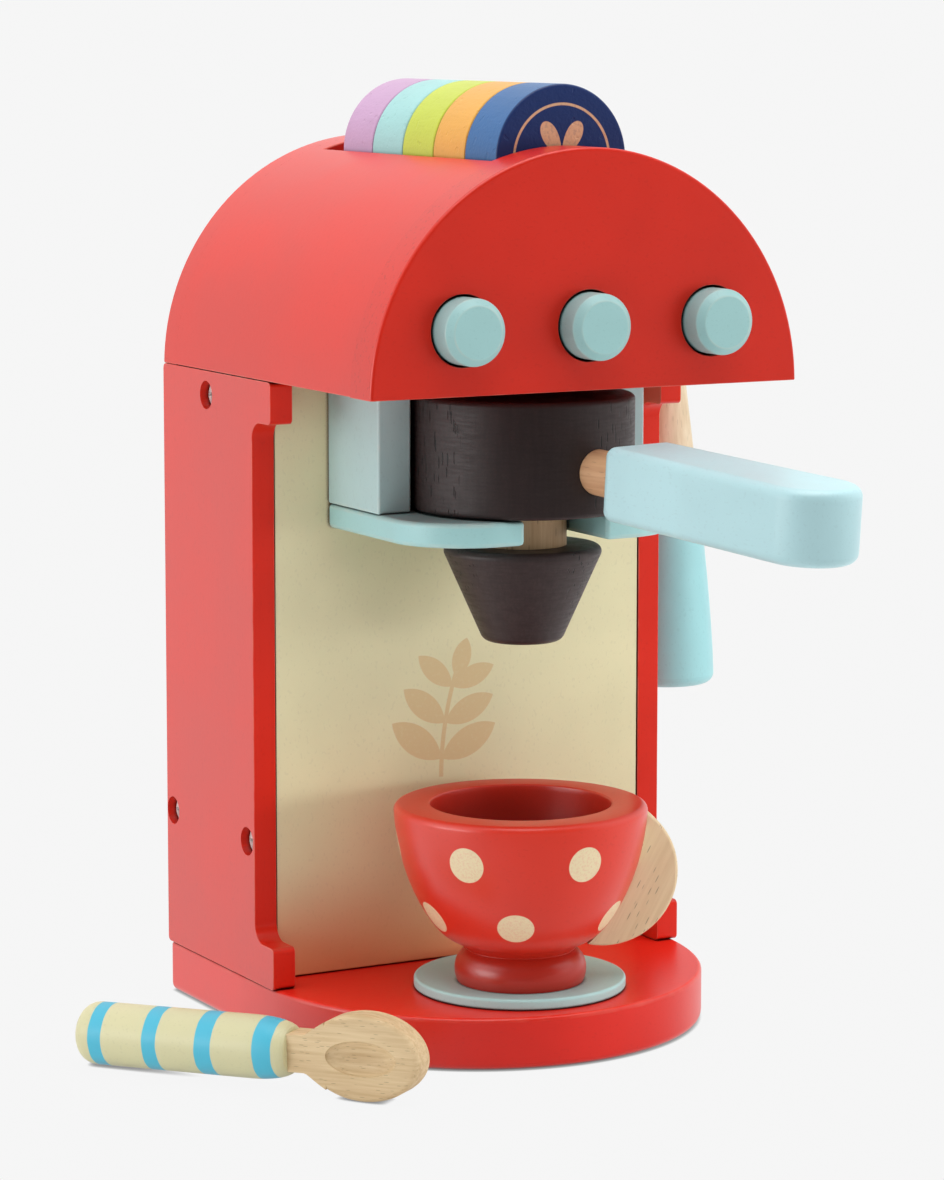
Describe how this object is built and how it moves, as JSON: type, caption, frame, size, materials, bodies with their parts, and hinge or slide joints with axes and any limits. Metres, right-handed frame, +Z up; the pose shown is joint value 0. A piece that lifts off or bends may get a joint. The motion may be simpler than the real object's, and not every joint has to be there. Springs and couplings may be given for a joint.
{
  "type": "toy coffee maker",
  "caption": "Painted wooden toy coffee maker with an arched pod head, spring buttons, turning filter holder, steam wand, cup, saucer and spoon.",
  "frame": {"origin": "middle of the base board's underside, halfway between its rear edge and the tip of its round nose, on the surface the toy stands on", "axes": "+Z up, -Y to the front where the buttons and the handle are, +X to the steam wand's side"},
  "size_m": [0.224, 0.2205, 0.2708],
  "materials": {
    "red_paint": "satin red paint over wood",
    "teal_paint": "satin pale turquoise paint over wood",
    "cream_paint": "satin cream paint over board",
    "brown_stain": "dark brown stain with open grain, satin varnish",
    "beech": "natural beech, matt",
    "spoon_paint": "cream paint with blue rings, satin",
    "cup_paint": "satin red paint with cream spots",
    "pod_lilac": "satin lilac paint",
    "pod_aqua": "satin aqua paint",
    "pod_lime": "satin lime paint",
    "pod_orange": "satin orange paint",
    "pod_blue": "satin blue paint with a navy face",
    "spring_wire": "drawn spring wire",
    "screw_steel": "plated steel, satin"
  },
  "bodies": {
    "machine": {"base_board": "red_paint", "side_panel_left": "red_paint", "side_panel_right": "red_paint", "front_panel": "cream_paint", "rear_panel": "red_paint", "top_rail": "beech", "arch_floor": "red_paint", "arch_front": "red_paint", "arch_shell": "red_paint", "arch_back": "red_paint", "pod_trough": "red_paint", "button_guide": "beech", "button_spring_left": "spring_wire", "button_spring_middle": "spring_wire", "button_spring_right": "spring_wire", "head_block_left": "teal_paint", "head_block_right": "teal_paint", "head_plate": "teal_paint", "head_pegs": "beech", "wand_spacer": "beech", "side_screws": "screw_steel", "base_screws": "screw_steel", "arch_screws": "screw_steel"},
    "left_button": {"button_left": "teal_paint"},
    "middle_button": {"button_middle": "teal_paint"},
    "right_button": {"button_right": "teal_paint"},
    "filter_neck": {"filter_neck": "beech"},
    "filter_holder": {"filter_drum": "brown_stain", "filter_spout": "brown_stain", "handle_dowel": "beech", "handle_grip": "teal_paint"},
    "lilac_pod": {"pod_lilac": "pod_lilac"},
    "aqua_pod": {"pod_aqua": "pod_aqua"},
    "lime_pod": {"pod_lime": "pod_lime"},
    "orange_pod": {"pod_orange": "pod_orange"},
    "blue_pod": {"pod_blue": "pod_blue"},
    "saucer": {"saucer": "teal_paint"},
    "cup": {"cup_body": "cup_paint", "cup_handle": "beech"},
    "steam_wand": {"wand_stem": "beech", "wand_grip": "teal_paint", "wand_pin": "beech"},
    "spoon": {"spoon_handle": "spoon_paint", "spoon_bowl": "beech"}
  },
  "joints": [
    {"name": "left_button_push", "type": "slide", "parent": "machine", "child": "left_button", "axis": [0, 1, 0], "range_m": [0, 0.005], "stiffness_N_per_m": 300, "deforming": ["button_spring_left"]},
    {"name": "middle_button_push", "type": "slide", "parent": "machine", "child": "middle_button", "axis": [0, 1, 0], "range_m": [0, 0.005], "stiffness_N_per_m": 300, "deforming": ["button_spring_middle"]},
    {"name": "right_button_push", "type": "slide", "parent": "machine", "child": "right_button", "axis": [0, 1, 0], "range_m": [0, 0.005], "stiffness_N_per_m": 300, "deforming": ["button_spring_right"]},
    {"name": "filter_slide_out", "type": "slide", "parent": "machine", "child": "filter_neck", "axis": [0, -1, 0], "range_m": [0, 0.1]},
    {"name": "filter_turn", "type": "hinge", "parent": "filter_neck", "child": "filter_holder", "pos_m": [0, -0.0288, 0.151], "axis": [0, 0, 1], "range_deg": [-87, 63]},
    {"name": "lilac_pod_lift", "type": "slide", "parent": "machine", "child": "lilac_pod", "axis": [0, 0, 1], "range_m": [0, 0.045]},
    {"name": "aqua_pod_lift", "type": "slide", "parent": "machine", "child": "aqua_pod", "axis": [0, 0, 1], "range_m": [0, 0.045]},
    {"name": "lime_pod_lift", "type": "slide", "parent": "machine", "child": "lime_pod", "axis": [0, 0, 1], "range_m": [0, 0.045]},
    {"name": "orange_pod_lift", "type": "slide", "parent": "machine", "child": "orange_pod", "axis": [0, 0, 1], "range_m": [0, 0.045]},
    {"name": "blue_pod_lift", "type": "slide", "parent": "machine", "child": "blue_pod", "axis": [0, 0, 1], "range_m": [0, 0.045]},
    {"name": "saucer_lift", "type": "slide", "parent": "machine", "child": "saucer", "axis": [0, -1, 0], "range_m": [0, 0.12]},
    {"name": "cup_lift", "type": "slide", "parent": "saucer", "child": "cup", "axis": [0, 0, 1], "range_m": [0, 0.03]},
    {"name": "wand_swing", "type": "hinge", "parent": "machine", "child": "steam_wand", "pos_m": [0.0827, 0.029, 0.18], "axis": [1, 0, 0], "range_deg": [-90, 90]},
    {"name": "spoon_lift", "type": "slide", "parent": "machine", "child": "spoon", "axis": [0, 0, 1], "range_m": [0, 0.06]}
  ]
}
